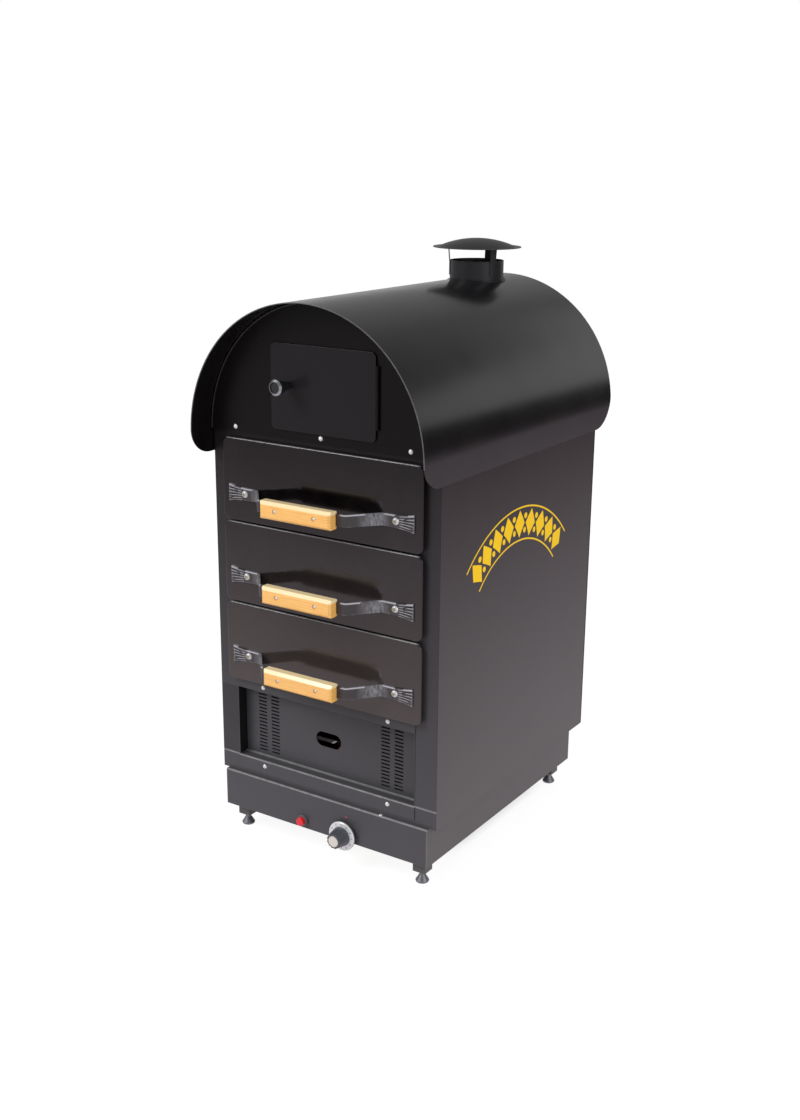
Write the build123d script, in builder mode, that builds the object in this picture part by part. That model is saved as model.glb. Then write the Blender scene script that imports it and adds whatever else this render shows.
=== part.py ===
from build123d import *
import math
import os

# Baked potato oven: three drawers over a gas burner, a top chamber under an arched hood.
# The front faces -Y, +X is to the viewer's right and +Z is up. The origin lies on the
# floor, under the middle of the plan. All sizes are in millimetres.

os.makedirs("parts", exist_ok=True)

# ---- driving dimensions -------------------------------------------------------------
sheet = 1.5  # casing sheet
thin_sheet = 1.2  # liner and tray sheet
bend_r = 2  # bends of the folded sheet
fit_gap = 0.1  # clearance of screws and bushes in their holes
running_gap = 0.05  # clearance of turning and clamped shanks
body_w = 450
body_d = 537
hood_reach = 55  # hood overhang past the body, front and rear
handle_reach = 77  # front of the grips, ahead of the front frame

leg_end_z = 22  # underside of the square legs
plinth_z = 44  # lower edge of the plinth
body_z = 113.5  # underside of the casing
skirt_z = 694  # lower edge of the hood
spring_z = 732  # height where the hood's arch springs

hood_r = 228  # outer radius of the hood's arch
hood_front_corner_r = 45
hood_rear_corner_r = 58
fascia_proud = 6

drawer_z = 294.5  # lower edge of the lowest drawer front
drawer_pitch = 144
drawer_names = ["bottom", "middle", "top"]
pan_w = 398
pan_h = 141
pan_corner_r = 12
pan_proud = 10
pan_depth = 3
tray_w = 368
tray_h = 100
tray_lift = 13  # tray underside above the drawer front's lower edge
tray_reach = 440  # tray's back edge behind the front frame
slide_gap = 0.3

handle_lift = 48  # handle centre above the drawer front's lower edge
strap_t = 3
strap_h = 20
strap_fan_h = 29
strap_half = 184
strap_bend_x = 125
strap_kink_x = 86
bolt_x = 150.5
grip_l = 139
grip_h = 29
grip_t = 20
grip_screw_x = 38.5

plinth_proud = 8
plinth_w = 426
plinth_d = 514  # plinth's rear face behind the front frame
leg_x = 188
leg_front = 20  # leg centre behind the front frame
leg_rear = 481
leg_size = 25
foot_stem_r = 4
foot_base_r = 11.5

cover_x = -2  # middle of the burner cover
cover_w = 371
cover_low, ledge_z, recess_top, cover_top = 121, 146, 275, 292.5
recess_d = 20
slot_rows = 17
slot_pitch = 6.6

door_w, door_h = 204, 140
door_x, door_z = 8, 818.5  # door centre
door_proud = 9.5
door_corner_r = 9
hinge_x = door_x + door_w / 2 + 2.8
hinge_lift = 8.7  # hinge axis ahead of the front frame
knob_x, knob_z = -57, 823  # top door's knob

dial_x, control_z = 47, 58.5
dial_r = 26.5
dial_back, dial_front = 15, 18  # dial faces, ahead of the front frame
igniter_x = -41
igniter_z = 60

flue_back = 479  # flue axis behind the front frame
flue_r = 49
flue_top = 991
cowl_rim_z = 1014
cowl_top = 1030
cowl_r = 80

burner_z = 185
burner_r = 20
valve_low, valve_top = 49, 91
gas_x, gas_z = -150, 79
gas_thread_r = 10.48
inlet_neck_r = 9.5
pipe_r = 6

liner_x = 190  # inner half width of the oven cavity
liner_back = 490

cover_screw_spots = [(x, z) for x in (-130, 130) for z in (135.4, 284.8)]
fascia_screw_spots = [(x, 742) for x in (-172.5, 2, 172.5)]
rear_screw_spots = [(x, z) for x in (-216, 216) for z in (135, 325, 515, 710)]
lip_screw_x = 119
screw_r = 2  # shank of the small panel screws
screw_hole_r = screw_r + fit_gap

# ---- derived places -----------------------------------------------------------------
front_y = (handle_reach - body_d - hood_reach) / 2
rear_y = front_y + body_d
drawer_bottoms = [drawer_z + i * drawer_pitch for i in range(3)]
leg_spots = [(x, front_y + y) for y in (leg_front, leg_rear) for x in (-leg_x, leg_x)]
leg_names = ["front_left", "front_right", "rear_left", "rear_right"]


def front_plane(ahead):
    """Plane facing the viewer, the given distance ahead of the front frame; local Y is up."""
    return Plane((0, front_y - ahead, 0), x_dir=(1, 0, 0), z_dir=(0, -1, 0))


def side_plane(x):
    """Plane across X: local X runs rearward from the front frame's face, local Y is up."""
    return Plane((x, front_y, 0), x_dir=(0, 1, 0), z_dir=(1, 0, 0))


def plan_plane(z):
    """Level plane whose local origin lies on the front frame's face, local Y rearward."""
    return Plane((0, front_y, z))


def save(builder, name):
    """Label a finished piece and write its file."""
    builder.part.label = name
    export_step(builder.part, f"parts/{name}.step")


def round_screw(head_r, head_h, shank_r, shank_l):
    """Round-head screw along +Z, with the underside of its head at the origin."""
    with BuildPart() as screw:
        with BuildSketch(Plane.XZ):
            with BuildLine():
                Polyline((0, head_h), (0, -shank_l), (shank_r, -shank_l), (shank_r, 0), (head_r, 0))
                TangentArc((0, head_h), (head_r, 0), tangent=(1, 0))
            make_face()
        revolve(axis=Axis.Z)
    return screw.part


# ---- casing -------------------------------------------------------------------------
frame_opening_w = tray_w + 7
frame_opening_h = tray_h + 7
frame_return = 18
frame_corner_r = 5
frame_edge_r = 1.2
cover_gap = 0.3

with BuildPart() as front_frame:
    with BuildSketch(front_plane(-sheet)):
        with Locations((0, (body_z + spring_z) / 2)):
            Rectangle(body_w, spring_z - body_z)
        with Locations(*[(0, z + tray_lift + tray_h / 2) for z in drawer_bottoms]):
            RectangleRounded(frame_opening_w, frame_opening_h, frame_corner_r, mode=Mode.SUBTRACT)
        with Locations((cover_x, (ledge_z + recess_top) / 2)):
            Rectangle(cover_w + 2 * cover_gap, recess_top - ledge_z + 2 * (sheet + 1), mode=Mode.SUBTRACT)
        with Locations(*cover_screw_spots):
            Circle(screw_hole_r, mode=Mode.SUBTRACT)
    extrude(amount=sheet)
    outer_corners = front_frame.edges().filter_by(Axis.Z).group_by(Axis.Y)[0].sort_by(Axis.X)
    fillet([outer_corners[0], outer_corners[-1]], frame_edge_r)
    with BuildSketch(plan_plane(body_z)):
        with Locations(*[(s * (body_w / 2 - 1.5 * sheet), sheet + frame_return / 2) for s in (-1, 1)]):
            Rectangle(sheet, frame_return)
    extrude(amount=spring_z - body_z)
save(front_frame, "front_frame")

panel_flange = 16
panel_centre_x = body_w / 2 - sheet / 2
for side, hand in ((-1, "left"), (1, "right")):
    with BuildPart() as side_panel:
        with BuildSketch(plan_plane(body_z)):
            with BuildLine():
                FilletPolyline(
                    (side * panel_centre_x, sheet),
                    (side * panel_centre_x, body_d - 1.5 * sheet),
                    (side * (panel_centre_x - panel_flange), body_d - 1.5 * sheet),
                    radius=bend_r,
                )
            trace(line_width=sheet)
        extrude(amount=spring_z - body_z)
        with BuildSketch(front_plane(-body_d)):
            with Locations(*rear_screw_spots):
                Circle(screw_hole_r)
        extrude(amount=3 * sheet, mode=Mode.SUBTRACT)
    save(side_panel, f"side_panel_{hand}")

back_arch_r = hood_r - sheet - 0.3
vent_l, vent_h = 70, 6
vent_columns, vent_rows = 4, 3
vent_pitch_x, vent_pitch_z = 90, 16
vent_lift = 60  # middle of the vents above the casing's underside
with BuildPart() as back_panel:
    with BuildSketch(front_plane(-body_d)):
        with Locations((0, spring_z)):
            Circle(back_arch_r)
        with Locations((0, spring_z - back_arch_r / 2)):
            Rectangle(2 * back_arch_r, back_arch_r, mode=Mode.SUBTRACT)
        with Locations((0, (body_z + spring_z) / 2)):
            Rectangle(body_w, spring_z - body_z)
        with Locations((0, body_z + vent_lift)):
            with GridLocations(vent_pitch_x, vent_pitch_z, vent_columns, vent_rows):
                SlotOverall(vent_l, vent_h, mode=Mode.SUBTRACT)
        with Locations(*rear_screw_spots):
            Circle(screw_hole_r, mode=Mode.SUBTRACT)
    extrude(amount=sheet)
save(back_panel, "back_panel")

floor_w = body_w - 4 * sheet - 0.2
feed_pipe_r = 5
feed_y = 40  # feed pipe's rise behind the front frame
air_slot_l, air_slot_w = 80, 14
air_slot_back = 150
air_pitch_x, air_pitch_y = 240, 80
with BuildPart() as base_plate:
    with BuildSketch(plan_plane(body_z)):
        with Locations((0, body_d / 2)):
            Rectangle(floor_w, body_d - 4 * sheet - 0.4)
        with Locations((0, air_slot_back)):
            with GridLocations(air_pitch_x, air_pitch_y, 2, 2):
                SlotOverall(air_slot_l, air_slot_w, mode=Mode.SUBTRACT)
        with Locations((dial_x, feed_y)):
            Circle(feed_pipe_r + 2, mode=Mode.SUBTRACT)
    extrude(amount=sheet)
save(base_plate, "base_plate")

# ---- plinth, legs and feet ----------------------------------------------------------
lip_d = 30
foot_lip_d = 6
igniter_body_r = 9.5
valve_bush_r = 6
with BuildPart() as plinth_front:
    with BuildSketch(side_plane(-plinth_w / 2)):
        with BuildLine():
            FilletPolyline(
                (lip_d, body_z - sheet / 2),
                (sheet / 2 - plinth_proud, body_z - sheet / 2),
                (sheet / 2 - plinth_proud, plinth_z + sheet / 2),
                (foot_lip_d, plinth_z + sheet / 2),
                radius=bend_r,
            )
        trace(line_width=sheet)
    extrude(amount=plinth_w)
    # the flanges stop short of the side skirts
    with BuildSketch(plan_plane(plinth_z)):
        with Locations(*[(s * plinth_w / 2, lip_d / 2) for s in (-1, 1)]):
            Rectangle(2 * sheet + 0.2, lip_d + 2 * (plinth_proud - sheet), mode=Mode.ADD)
    extrude(amount=body_z - plinth_z, mode=Mode.SUBTRACT)
    with BuildSketch(front_plane(plinth_proud)):
        with Locations((dial_x, control_z)):
            Circle(valve_bush_r + fit_gap)
        with Locations((igniter_x, igniter_z)):
            Circle(igniter_body_r + fit_gap)
    extrude(amount=-2 * sheet, mode=Mode.SUBTRACT)
    with BuildSketch(plan_plane(body_z)):
        with Locations((lip_screw_x, -plinth_proud / 2)):
            Circle(screw_hole_r)
    extrude(amount=-2 * sheet, mode=Mode.SUBTRACT)
save(plinth_front, "plinth_front")

skirt_x = plinth_w / 2 - sheet / 2
with BuildPart() as plinth_skirt:
    with BuildSketch(plan_plane(plinth_z)):
        with BuildLine():
            FilletPolyline(
                (-skirt_x, sheet - plinth_proud),
                (-skirt_x, plinth_d - sheet / 2),
                (skirt_x, plinth_d - sheet / 2),
                (skirt_x, sheet - plinth_proud),
                radius=2.5,
            )
        trace(line_width=sheet)
    extrude(amount=body_z - plinth_z)
    with BuildSketch(front_plane(-plinth_d)):
        with Locations((gas_x, gas_z)):
            Circle(inlet_neck_r + fit_gap)
    extrude(amount=2 * sheet, mode=Mode.SUBTRACT)
save(plinth_skirt, "plinth_skirt")

leg_plug_h = 12
leg_corner_r = 2
thread_gap = 0.06
with BuildPart() as corner_legs:
    with BuildSketch(Plane.XY.offset(leg_end_z)):
        with Locations(*leg_spots):
            RectangleRounded(leg_size, leg_size, leg_corner_r)
            Rectangle(leg_size - 2 * sheet, leg_size - 2 * sheet, mode=Mode.SUBTRACT)
    extrude(amount=body_z - sheet - slide_gap - leg_end_z)
    # threaded plug welded in each leg's end
    with BuildSketch(Plane.XY.offset(leg_end_z)):
        with Locations(*leg_spots):
            Rectangle(leg_size - 2 * sheet, leg_size - 2 * sheet)
            Circle(foot_stem_r + thread_gap, mode=Mode.SUBTRACT)
    extrude(amount=leg_plug_h)
save(corner_legs, "corner_legs")

foot_neck_r, foot_neck_z = 5, 17
foot_collar_h = 2.5
foot_sole_r, foot_rim_z = 8.5, 4
foot_stem_top = leg_end_z + 32
for name, (foot_x, foot_y) in zip(leg_names, leg_spots):
    with BuildPart() as foot:
        with BuildSketch(Plane((foot_x, foot_y, 0), x_dir=(1, 0, 0), z_dir=(0, -1, 0))):
            with BuildLine():
                Line((0, 0), (foot_sole_r, 0))
                TangentArc((foot_sole_r, 0), (foot_base_r, foot_rim_z), tangent=(1, 0))
                Polyline(
                    (foot_base_r, foot_rim_z),
                    (foot_neck_r, foot_neck_z - foot_collar_h),
                    (foot_neck_r, foot_neck_z),
                    (foot_stem_r, foot_neck_z),
                    (foot_stem_r, foot_stem_top),
                    (0, foot_stem_top),
                    (0, 0),
                )
            make_face()
        revolve(axis=Axis((foot_x, foot_y, 0), (0, 0, 1)))
    save(foot, f"foot_{name}")

# ---- hood and fascia ----------------------------------------------------------------
hood_len = body_d + 2 * hood_reach
arch_r = hood_r - sheet / 2
hood_top = spring_z + hood_r
flue_gap = 0.2
with BuildPart() as hood:
    with BuildSketch(front_plane(-body_d - hood_reach)):
        with BuildLine():
            Line((-arch_r, skirt_z), (-arch_r, spring_z))
            CenterArc((0, spring_z), arch_r, 0, 180)
            Line((arch_r, spring_z), (arch_r, skirt_z))
        trace(line_width=sheet)
    extrude(amount=hood_len)
    # the side view rounds the lower corners of the skirts
    with BuildSketch(side_plane(-hood_r - 1)) as hood_side:
        with Locations((body_d / 2, (skirt_z + hood_top + 5) / 2)):
            Rectangle(hood_len, hood_top + 5 - skirt_z)
        low_corners = hood_side.vertices().group_by(Axis.Y)[0].sort_by(Axis.X)
        fillet(low_corners[0], hood_front_corner_r)
        rear_corner = hood_side.vertices().group_by(Axis.Y)[0].sort_by(Axis.X)[-1]
        fillet(rear_corner, hood_rear_corner_r)
    extrude(amount=2 * hood_r + 2, mode=Mode.INTERSECT)
    with BuildSketch(plan_plane(spring_z)):
        with Locations((0, flue_back)):
            Circle(flue_r + flue_gap)
    extrude(amount=hood_r + 5, mode=Mode.SUBTRACT)
save(hood, "hood")

fascia_r = hood_r - sheet - 1.2
fascia_low = spring_z + 0.5
door_opening_w = door_w - 14
door_opening_h = door_h - 14
door_opening_r = 5
fascia_corner_r = 4
with BuildPart() as fascia:
    with BuildSketch(front_plane(0)) as fascia_face:
        with BuildLine():
            CenterArc((0, fascia_low), fascia_r, 0, 180)
            Line((-fascia_r, fascia_low), (fascia_r, fascia_low))
        make_face()
        fillet(fascia_face.vertices(), fascia_corner_r)
    extrude(amount=fascia_proud)
    fillet(fascia.faces().sort_by(Axis.Y)[0].edges(), sheet * 0.8)
    offset(amount=-sheet, openings=fascia.faces().sort_by(Axis.Y)[-1])
    with BuildSketch(front_plane(0)):
        with Locations((door_x, door_z)):
            RectangleRounded(door_opening_w, door_opening_h, door_opening_r)
        with Locations(*fascia_screw_spots):
            Circle(screw_hole_r)
    extrude(amount=fascia_proud, mode=Mode.SUBTRACT)
save(fascia, "fascia")

chamber_flange = 19
heat_slot_l, heat_slot_w = 50, 12
heat_slot_x = 165
heat_slot_back = 230
heat_slot_pitch = 62
with BuildPart() as chamber_floor:
    with BuildSketch(side_plane(-floor_w / 2)):
        with BuildLine():
            FilletPolyline(
                (sheet / 2, spring_z + 1 + chamber_flange),
                (sheet / 2, spring_z + 1 + sheet / 2),
                (body_d - 2 * sheet - 0.2, spring_z + 1 + sheet / 2),
                radius=bend_r,
            )
        trace(line_width=sheet)
    extrude(amount=floor_w)
    with BuildSketch(plan_plane(spring_z)):
        with Locations((0, heat_slot_back)):
            with GridLocations(2 * heat_slot_x, heat_slot_pitch, 2, 6):
                SlotOverall(heat_slot_l, heat_slot_w, rotation=90)
        with Locations((0, flue_back)):
            Circle(flue_r - 2 * sheet)
    extrude(amount=4, mode=Mode.SUBTRACT)
    with BuildSketch(front_plane(-sheet)):
        with Locations(*fascia_screw_spots):
            Circle(screw_hole_r)
    extrude(amount=2 * sheet, mode=Mode.SUBTRACT)
save(chamber_floor, "chamber_floor")

# ---- oven cavity --------------------------------------------------------------------
liner_low = body_z + sheet + 2
liner_top = spring_z - 2
liner_gap = 0.5
liner_bend_r = 3
with BuildPart() as oven_liner:
    with BuildSketch(plan_plane(liner_low)):
        with BuildLine():
            FilletPolyline(
                (-liner_x - thin_sheet / 2, sheet + liner_gap),
                (-liner_x - thin_sheet / 2, liner_back + thin_sheet / 2),
                (liner_x + thin_sheet / 2, liner_back + thin_sheet / 2),
                (liner_x + thin_sheet / 2, sheet + liner_gap),
                radius=liner_bend_r,
            )
        trace(line_width=thin_sheet)
    extrude(amount=liner_top - liner_low)
save(oven_liner, "oven_liner")

slab_in = liner_x + thin_sheet + liner_gap
slab_out = body_w / 2 - 2 * sheet - liner_gap
slab_back = liner_back + thin_sheet + liner_gap
with BuildPart() as insulation_slabs:
    with BuildSketch(plan_plane(liner_low)):
        for side in (-1, 1):
            with Locations((side * (slab_in + slab_out) / 2, liner_back / 2 + 5)):
                Rectangle(slab_out - slab_in, liner_back - 10)
        with Locations((0, (slab_back + body_d - 3 * sheet) / 2)):
            Rectangle(2 * (slab_out - panel_flange), body_d - 3 * sheet - slab_back)
    extrude(amount=liner_top - liner_low)
save(insulation_slabs, "insulation_slabs")

runner_in = 172
runner_drop = 20
runner_l = 478
runner_front = 6  # runner ends behind the front frame
with BuildPart() as drawer_runners:
    for z in drawer_bottoms:
        top = z + tray_lift - slide_gap - sheet / 2
        for side in (-1, 1):
            with BuildSketch(front_plane(-runner_front - runner_l)):
                with BuildLine():
                    FilletPolyline(
                        (side * runner_in, top),
                        (side * (liner_x - sheet / 2), top),
                        (side * (liner_x - sheet / 2), top - runner_drop),
                        radius=1.5,
                    )
                trace(line_width=sheet)
            extrude(amount=runner_l)
save(drawer_runners, "drawer_runners")

baffle_z = 283
baffle_fold = 14
baffle_front, baffle_back = 40, 470
with BuildPart() as heat_baffle:
    with BuildSketch(front_plane(-baffle_back)):
        with BuildLine():
            FilletPolyline(
                (-liner_x + sheet / 2, baffle_z - baffle_fold),
                (-liner_x + sheet / 2, baffle_z),
                (liner_x - sheet / 2, baffle_z),
                (liner_x - sheet / 2, baffle_z - baffle_fold),
                radius=bend_r,
            )
        trace(line_width=sheet)
    extrude(amount=baffle_back - baffle_front)
save(heat_baffle, "heat_baffle")

# ---- burner cover -------------------------------------------------------------------
slot_l, slot_h = 17.5, 2.8
slot_columns = [-148.5, -121, 112, 139]
slot_mid_z = 208.8
sight_x, sight_z = -5.5, 209
sight_l, sight_h = 53, 27
cover_bend_r = 1.6
with BuildPart() as burner_cover:
    with BuildSketch(side_plane(cover_x - cover_w / 2)):
        with BuildLine():
            FilletPolyline(
                (-sheet / 2, cover_top),
                (-sheet / 2, recess_top + sheet / 2),
                (recess_d + sheet / 2, recess_top + sheet / 2),
                (recess_d + sheet / 2, ledge_z - sheet / 2),
                (-sheet / 2, ledge_z - sheet / 2),
                (-sheet / 2, cover_low),
                radius=cover_bend_r,
            )
        trace(line_width=sheet)
    extrude(amount=cover_w)
    # cheeks close the recess at its two ends
    for side in (-1, 1):
        with BuildSketch(side_plane(cover_x + side * (cover_w / 2 - sheet / 2))):
            with Locations((recess_d / 2 - 0.2, (ledge_z + recess_top) / 2)):
                Rectangle(recess_d + 0.8, recess_top - ledge_z + 1)
        extrude(amount=sheet / 2, both=True)
    with BuildSketch(front_plane(-recess_d - 2 * sheet)):
        for column in slot_columns:
            with Locations((column, slot_mid_z)):
                with GridLocations(slot_l, slot_pitch, 1, slot_rows):
                    Rectangle(slot_l, slot_h)
        with Locations((sight_x, sight_z)):
            SlotOverall(sight_l, sight_h)
    extrude(amount=2 * sheet, mode=Mode.SUBTRACT)
    with BuildSketch(front_plane(-sheet)):
        with Locations(*cover_screw_spots):
            Circle(screw_hole_r)
    extrude(amount=4 * sheet, mode=Mode.SUBTRACT)
save(burner_cover, "burner_cover")

# ---- burner and gas train -----------------------------------------------------------
burner_front, burner_end = 86, 450
burner_wall = 2
mouth_r, throat_r = 24, 14
mouth_lip = 4
throat_l, flare_l = 34, 74  # throat and straight tube, behind the burner's mouth
port_w, port_l, port_pitch, port_count = 24, 2, 15, 16
port_depth = 6
burner_foot_w, burner_foot_t = 70, 3
with BuildPart() as burner:
    with BuildSketch(side_plane(0)):
        with BuildLine():
            Polyline(
                (burner_front, burner_z + mouth_r - burner_wall),
                (burner_front, burner_z + mouth_r),
                (burner_front + mouth_lip, burner_z + mouth_r),
            )
            Spline(
                (burner_front + mouth_lip, burner_z + mouth_r),
                (burner_front + throat_l, burner_z + throat_r),
                (burner_front + flare_l, burner_z + burner_r),
                tangents=[(0.4, -1), (1, 0.1)],
            )
            Polyline(
                (burner_front + flare_l, burner_z + burner_r),
                (burner_end, burner_z + burner_r),
                (burner_end, burner_z),
                (burner_end - burner_wall, burner_z),
                (burner_end - burner_wall, burner_z + burner_r - burner_wall),
                (burner_front + flare_l, burner_z + burner_r - burner_wall),
            )
            Spline(
                (burner_front + flare_l, burner_z + burner_r - burner_wall),
                (burner_front + throat_l, burner_z + throat_r - burner_wall),
                (burner_front, burner_z + mouth_r - burner_wall),
                tangents=[(-1, -0.1), (-0.6, 1)],
            )
        make_face()
    revolve(axis=Axis((0, front_y, burner_z), (0, 1, 0)))
    # saw-cut flame ports across the top
    with BuildSketch(plan_plane(burner_z + burner_r - port_depth)):
        with Locations((0, (burner_front + 90 + burner_end) / 2)):
            with GridLocations(port_w, port_pitch, 1, port_count):
                Rectangle(port_w, port_l)
    extrude(amount=port_depth + 2, mode=Mode.SUBTRACT)
    # welded feet down to the base plate
    for foot_back in (burner_front + 100, burner_end - 40):
        with BuildSketch(front_plane(-foot_back)) as burner_foot:
            with Locations((0, (body_z + sheet + burner_z) / 2)):
                Trapezoid(burner_foot_w, burner_z - body_z - sheet, 75)
            with Locations((0, burner_z)):
                Circle(burner_r - burner_wall / 2, mode=Mode.SUBTRACT)
        extrude(amount=burner_foot_t)
save(burner, "burner")

injector_front = feed_y + 22
injector_r, injector_l = 8.5, 14
jet_r, jet_l = 4.5, 8
feed_bend_r = 14
with BuildPart() as burner_feed_pipe:
    with BuildLine() as feed_route:
        FilletPolyline(
            (dial_x, front_y + feed_y, valve_top),
            (dial_x, front_y + feed_y, burner_z),
            (0, front_y + feed_y, burner_z),
            (0, front_y + injector_front, burner_z),
            radius=feed_bend_r,
        )
    with BuildSketch(Plane((dial_x, front_y + feed_y, valve_top))):
        Circle(feed_pipe_r)
    sweep(path=feed_route.line)
    with BuildSketch(front_plane(-injector_front - injector_l)):
        with Locations((0, burner_z)):
            RegularPolygon(injector_r, 6)
    extrude(amount=injector_l)
    with BuildSketch(front_plane(-injector_front - injector_l - jet_l)):
        with Locations((0, burner_z)):
            Circle(jet_r)
    extrude(amount=jet_l)
save(burner_feed_pipe, "burner_feed_pipe")

electrode_x, electrode_y = 34, front_y + 200
electrode_foot_r, ceramic_r, spark_r = 9, 4, 1.2
electrode_foot_z = body_z + sheet
electrode_top = burner_z + burner_r + 4
with BuildPart() as igniter_electrode:
    with BuildSketch(Plane((electrode_x, electrode_y, 0), x_dir=(1, 0, 0), z_dir=(0, -1, 0))):
        with BuildLine():
            Polyline(
                (0, electrode_foot_z),
                (electrode_foot_r, electrode_foot_z),
                (electrode_foot_r, electrode_foot_z + 2),
                (ceramic_r, electrode_foot_z + 2),
                (ceramic_r, burner_z - 5),
                (spark_r, burner_z - 3),
                (spark_r, electrode_top),
                (0, electrode_top),
                close=True,
            )
        make_face()
    revolve(axis=Axis((electrode_x, electrode_y, 0), (0, 0, 1)))
save(igniter_electrode, "igniter_electrode")

valve_front, valve_back = 2, 62
valve_w = 46
valve_corner_r, valve_edge_r = 5, 3
shaft_r = 3
with BuildPart() as thermostat_valve:
    with BuildSketch(front_plane(-valve_back)):
        with Locations((dial_x, (valve_low + valve_top) / 2)):
            RectangleRounded(valve_w, valve_top - valve_low, valve_corner_r)
    extrude(amount=valve_back - valve_front)
    fillet(thermostat_valve.faces().sort_by(Axis.Y)[0].edges(), valve_edge_r)
    with BuildSketch(front_plane(-valve_front - 1)):
        with Locations((dial_x, control_z)):
            Circle(valve_bush_r)
    extrude(amount=valve_front + plinth_proud + 4)
    with BuildSketch(front_plane(-valve_front)):
        with Locations((dial_x, control_z)):
            Circle(shaft_r)
    extrude(amount=valve_front + dial_front + 10)
save(thermostat_valve, "thermostat_valve")

inlet_nut_l = 12
inlet_collar_l = 3
inlet_thread_l = 17
inlet_hex_r = 15
inlet_bore_r = 7.5
inlet_stages = (
    (plinth_d - sheet - inlet_nut_l, inlet_nut_l, inlet_hex_r, 6),
    (plinth_d - sheet, sheet, inlet_neck_r, 0),
    (plinth_d, inlet_collar_l, inlet_hex_r, 6),
    (plinth_d + inlet_collar_l, inlet_thread_l, gas_thread_r, 0),
)
with BuildPart() as gas_inlet:
    # inner nut, neck through the plinth, outer collar and threaded end
    for start, length, radius, sides in inlet_stages:
        with BuildSketch(front_plane(-start)):
            with Locations((gas_x, gas_z)):
                if sides:
                    RegularPolygon(radius, sides)
                else:
                    Circle(radius)
        extrude(amount=-length)
    chamfer(gas_inlet.faces().sort_by(Axis.Y)[-1].edges(), 0.8)
    with BuildSketch(front_plane(-plinth_d - inlet_collar_l - inlet_thread_l)):
        with Locations((gas_x, gas_z)):
            Circle(inlet_bore_r)
    extrude(amount=inlet_thread_l, mode=Mode.SUBTRACT)
save(gas_inlet, "gas_inlet")

pipe_start = plinth_d - sheet - inlet_nut_l
pipe_turn_y = 34
pipe_bend_r = 35
with BuildPart() as gas_pipe:
    with BuildLine() as gas_route:
        FilletPolyline(
            (gas_x, front_y + pipe_start, gas_z),
            (gas_x, front_y + pipe_turn_y, gas_z),
            (dial_x - valve_w / 2, front_y + pipe_turn_y, gas_z),
            radius=pipe_bend_r,
        )
    with BuildSketch(Plane((gas_x, front_y + pipe_start, gas_z), z_dir=(0, -1, 0))):
        Circle(pipe_r)
    sweep(path=gas_route.line)
save(gas_pipe, "gas_pipe")

# ---- igniter ------------------------------------------------------------------------
button_r = 7.5
bezel_r = 10.5
bezel_t = 5
button_proud = 12
button_travel = 4
button_l = 20
igniter_l = 44
with BuildPart() as igniter_housing:
    with BuildSketch(front_plane(plinth_proud)):
        with Locations((igniter_x, igniter_z)):
            Circle(bezel_r)
    extrude(amount=bezel_t)
    fillet(igniter_housing.faces().sort_by(Axis.Y)[0].edges(), 1)
    with BuildSketch(front_plane(plinth_proud)):
        with Locations((igniter_x, igniter_z)):
            Circle(igniter_body_r)
    extrude(amount=-igniter_l)
    with BuildSketch(front_plane(plinth_proud + bezel_t)):
        with Locations((igniter_x, igniter_z)):
            Circle(button_r + fit_gap)
    extrude(amount=-button_l - 2, mode=Mode.SUBTRACT)
save(igniter_housing, "igniter_housing")

with BuildPart() as igniter_button:
    with BuildSketch(front_plane(plinth_proud + button_proud)):
        with Locations((igniter_x, igniter_z)):
            Circle(button_r)
    extrude(amount=-button_l)
    fillet(igniter_button.faces().sort_by(Axis.Y)[0].edges(), 1.6)
save(igniter_button, "igniter_button")

# ---- thermostat control -------------------------------------------------------------
boss_r = shaft_r + 3.5
dial_bevel = (1.4, 2.2)
with BuildPart() as thermostat_dial:
    with BuildSketch(front_plane(dial_back)):
        with Locations((dial_x, control_z)):
            Circle(dial_r)
            Circle(boss_r, mode=Mode.SUBTRACT)
    extrude(amount=dial_front - dial_back)
    rim = thermostat_dial.faces().sort_by(Axis.Y)[0].edges().sort_by(SortBy.LENGTH)[-1]
    chamfer(rim, *dial_bevel)
save(thermostat_dial, "thermostat_dial")

hub_l = 23
hub_base_r, hub_tip_r = 17.5, 13.5
flute_count = 12
flute_r = 3.4
flute_rings = ((3, hub_base_r + 2.2), (hub_l + 1, hub_tip_r + 1.6))  # height and radius of the axes
cap_r = 9.7
cap_t = 1.6
shaft_socket_l = 12
with BuildPart() as thermostat_knob:
    with BuildSketch(front_plane(dial_front)):
        with Locations((dial_x, control_z)):
            Circle(hub_base_r)
    with BuildSketch(front_plane(dial_front + hub_l)):
        with Locations((dial_x, control_z)):
            Circle(hub_tip_r)
    loft()
    fillet(thermostat_knob.faces().sort_by(Axis.Y)[0].edges(), 1.2)
    # grip flutes lean in with the taper
    for i in range(flute_count):
        flute = Vector(0, 1).rotate(Axis.Z, i * 360 / flute_count)
        for ahead, ring_r in flute_rings:
            with BuildSketch(front_plane(dial_front + ahead)):
                with Locations((dial_x + flute.X * ring_r, control_z + flute.Y * ring_r)):
                    Circle(flute_r)
        loft(mode=Mode.SUBTRACT)
    with BuildSketch(front_plane(dial_front + hub_l)):
        with Locations((dial_x, control_z)):
            Circle(cap_r + running_gap)
    extrude(amount=-cap_t / 2, mode=Mode.SUBTRACT)
    # boss that carries the dial, with the shaft's bore
    with BuildSketch(front_plane(dial_back)):
        with Locations((dial_x, control_z)):
            Circle(boss_r)
    extrude(amount=dial_front - dial_back)
    with BuildSketch(front_plane(dial_back)):
        with Locations((dial_x, control_z)):
            Circle(shaft_r + running_gap)
    extrude(amount=dial_front - dial_back + shaft_socket_l, mode=Mode.SUBTRACT)
save(thermostat_knob, "thermostat_knob")

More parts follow.
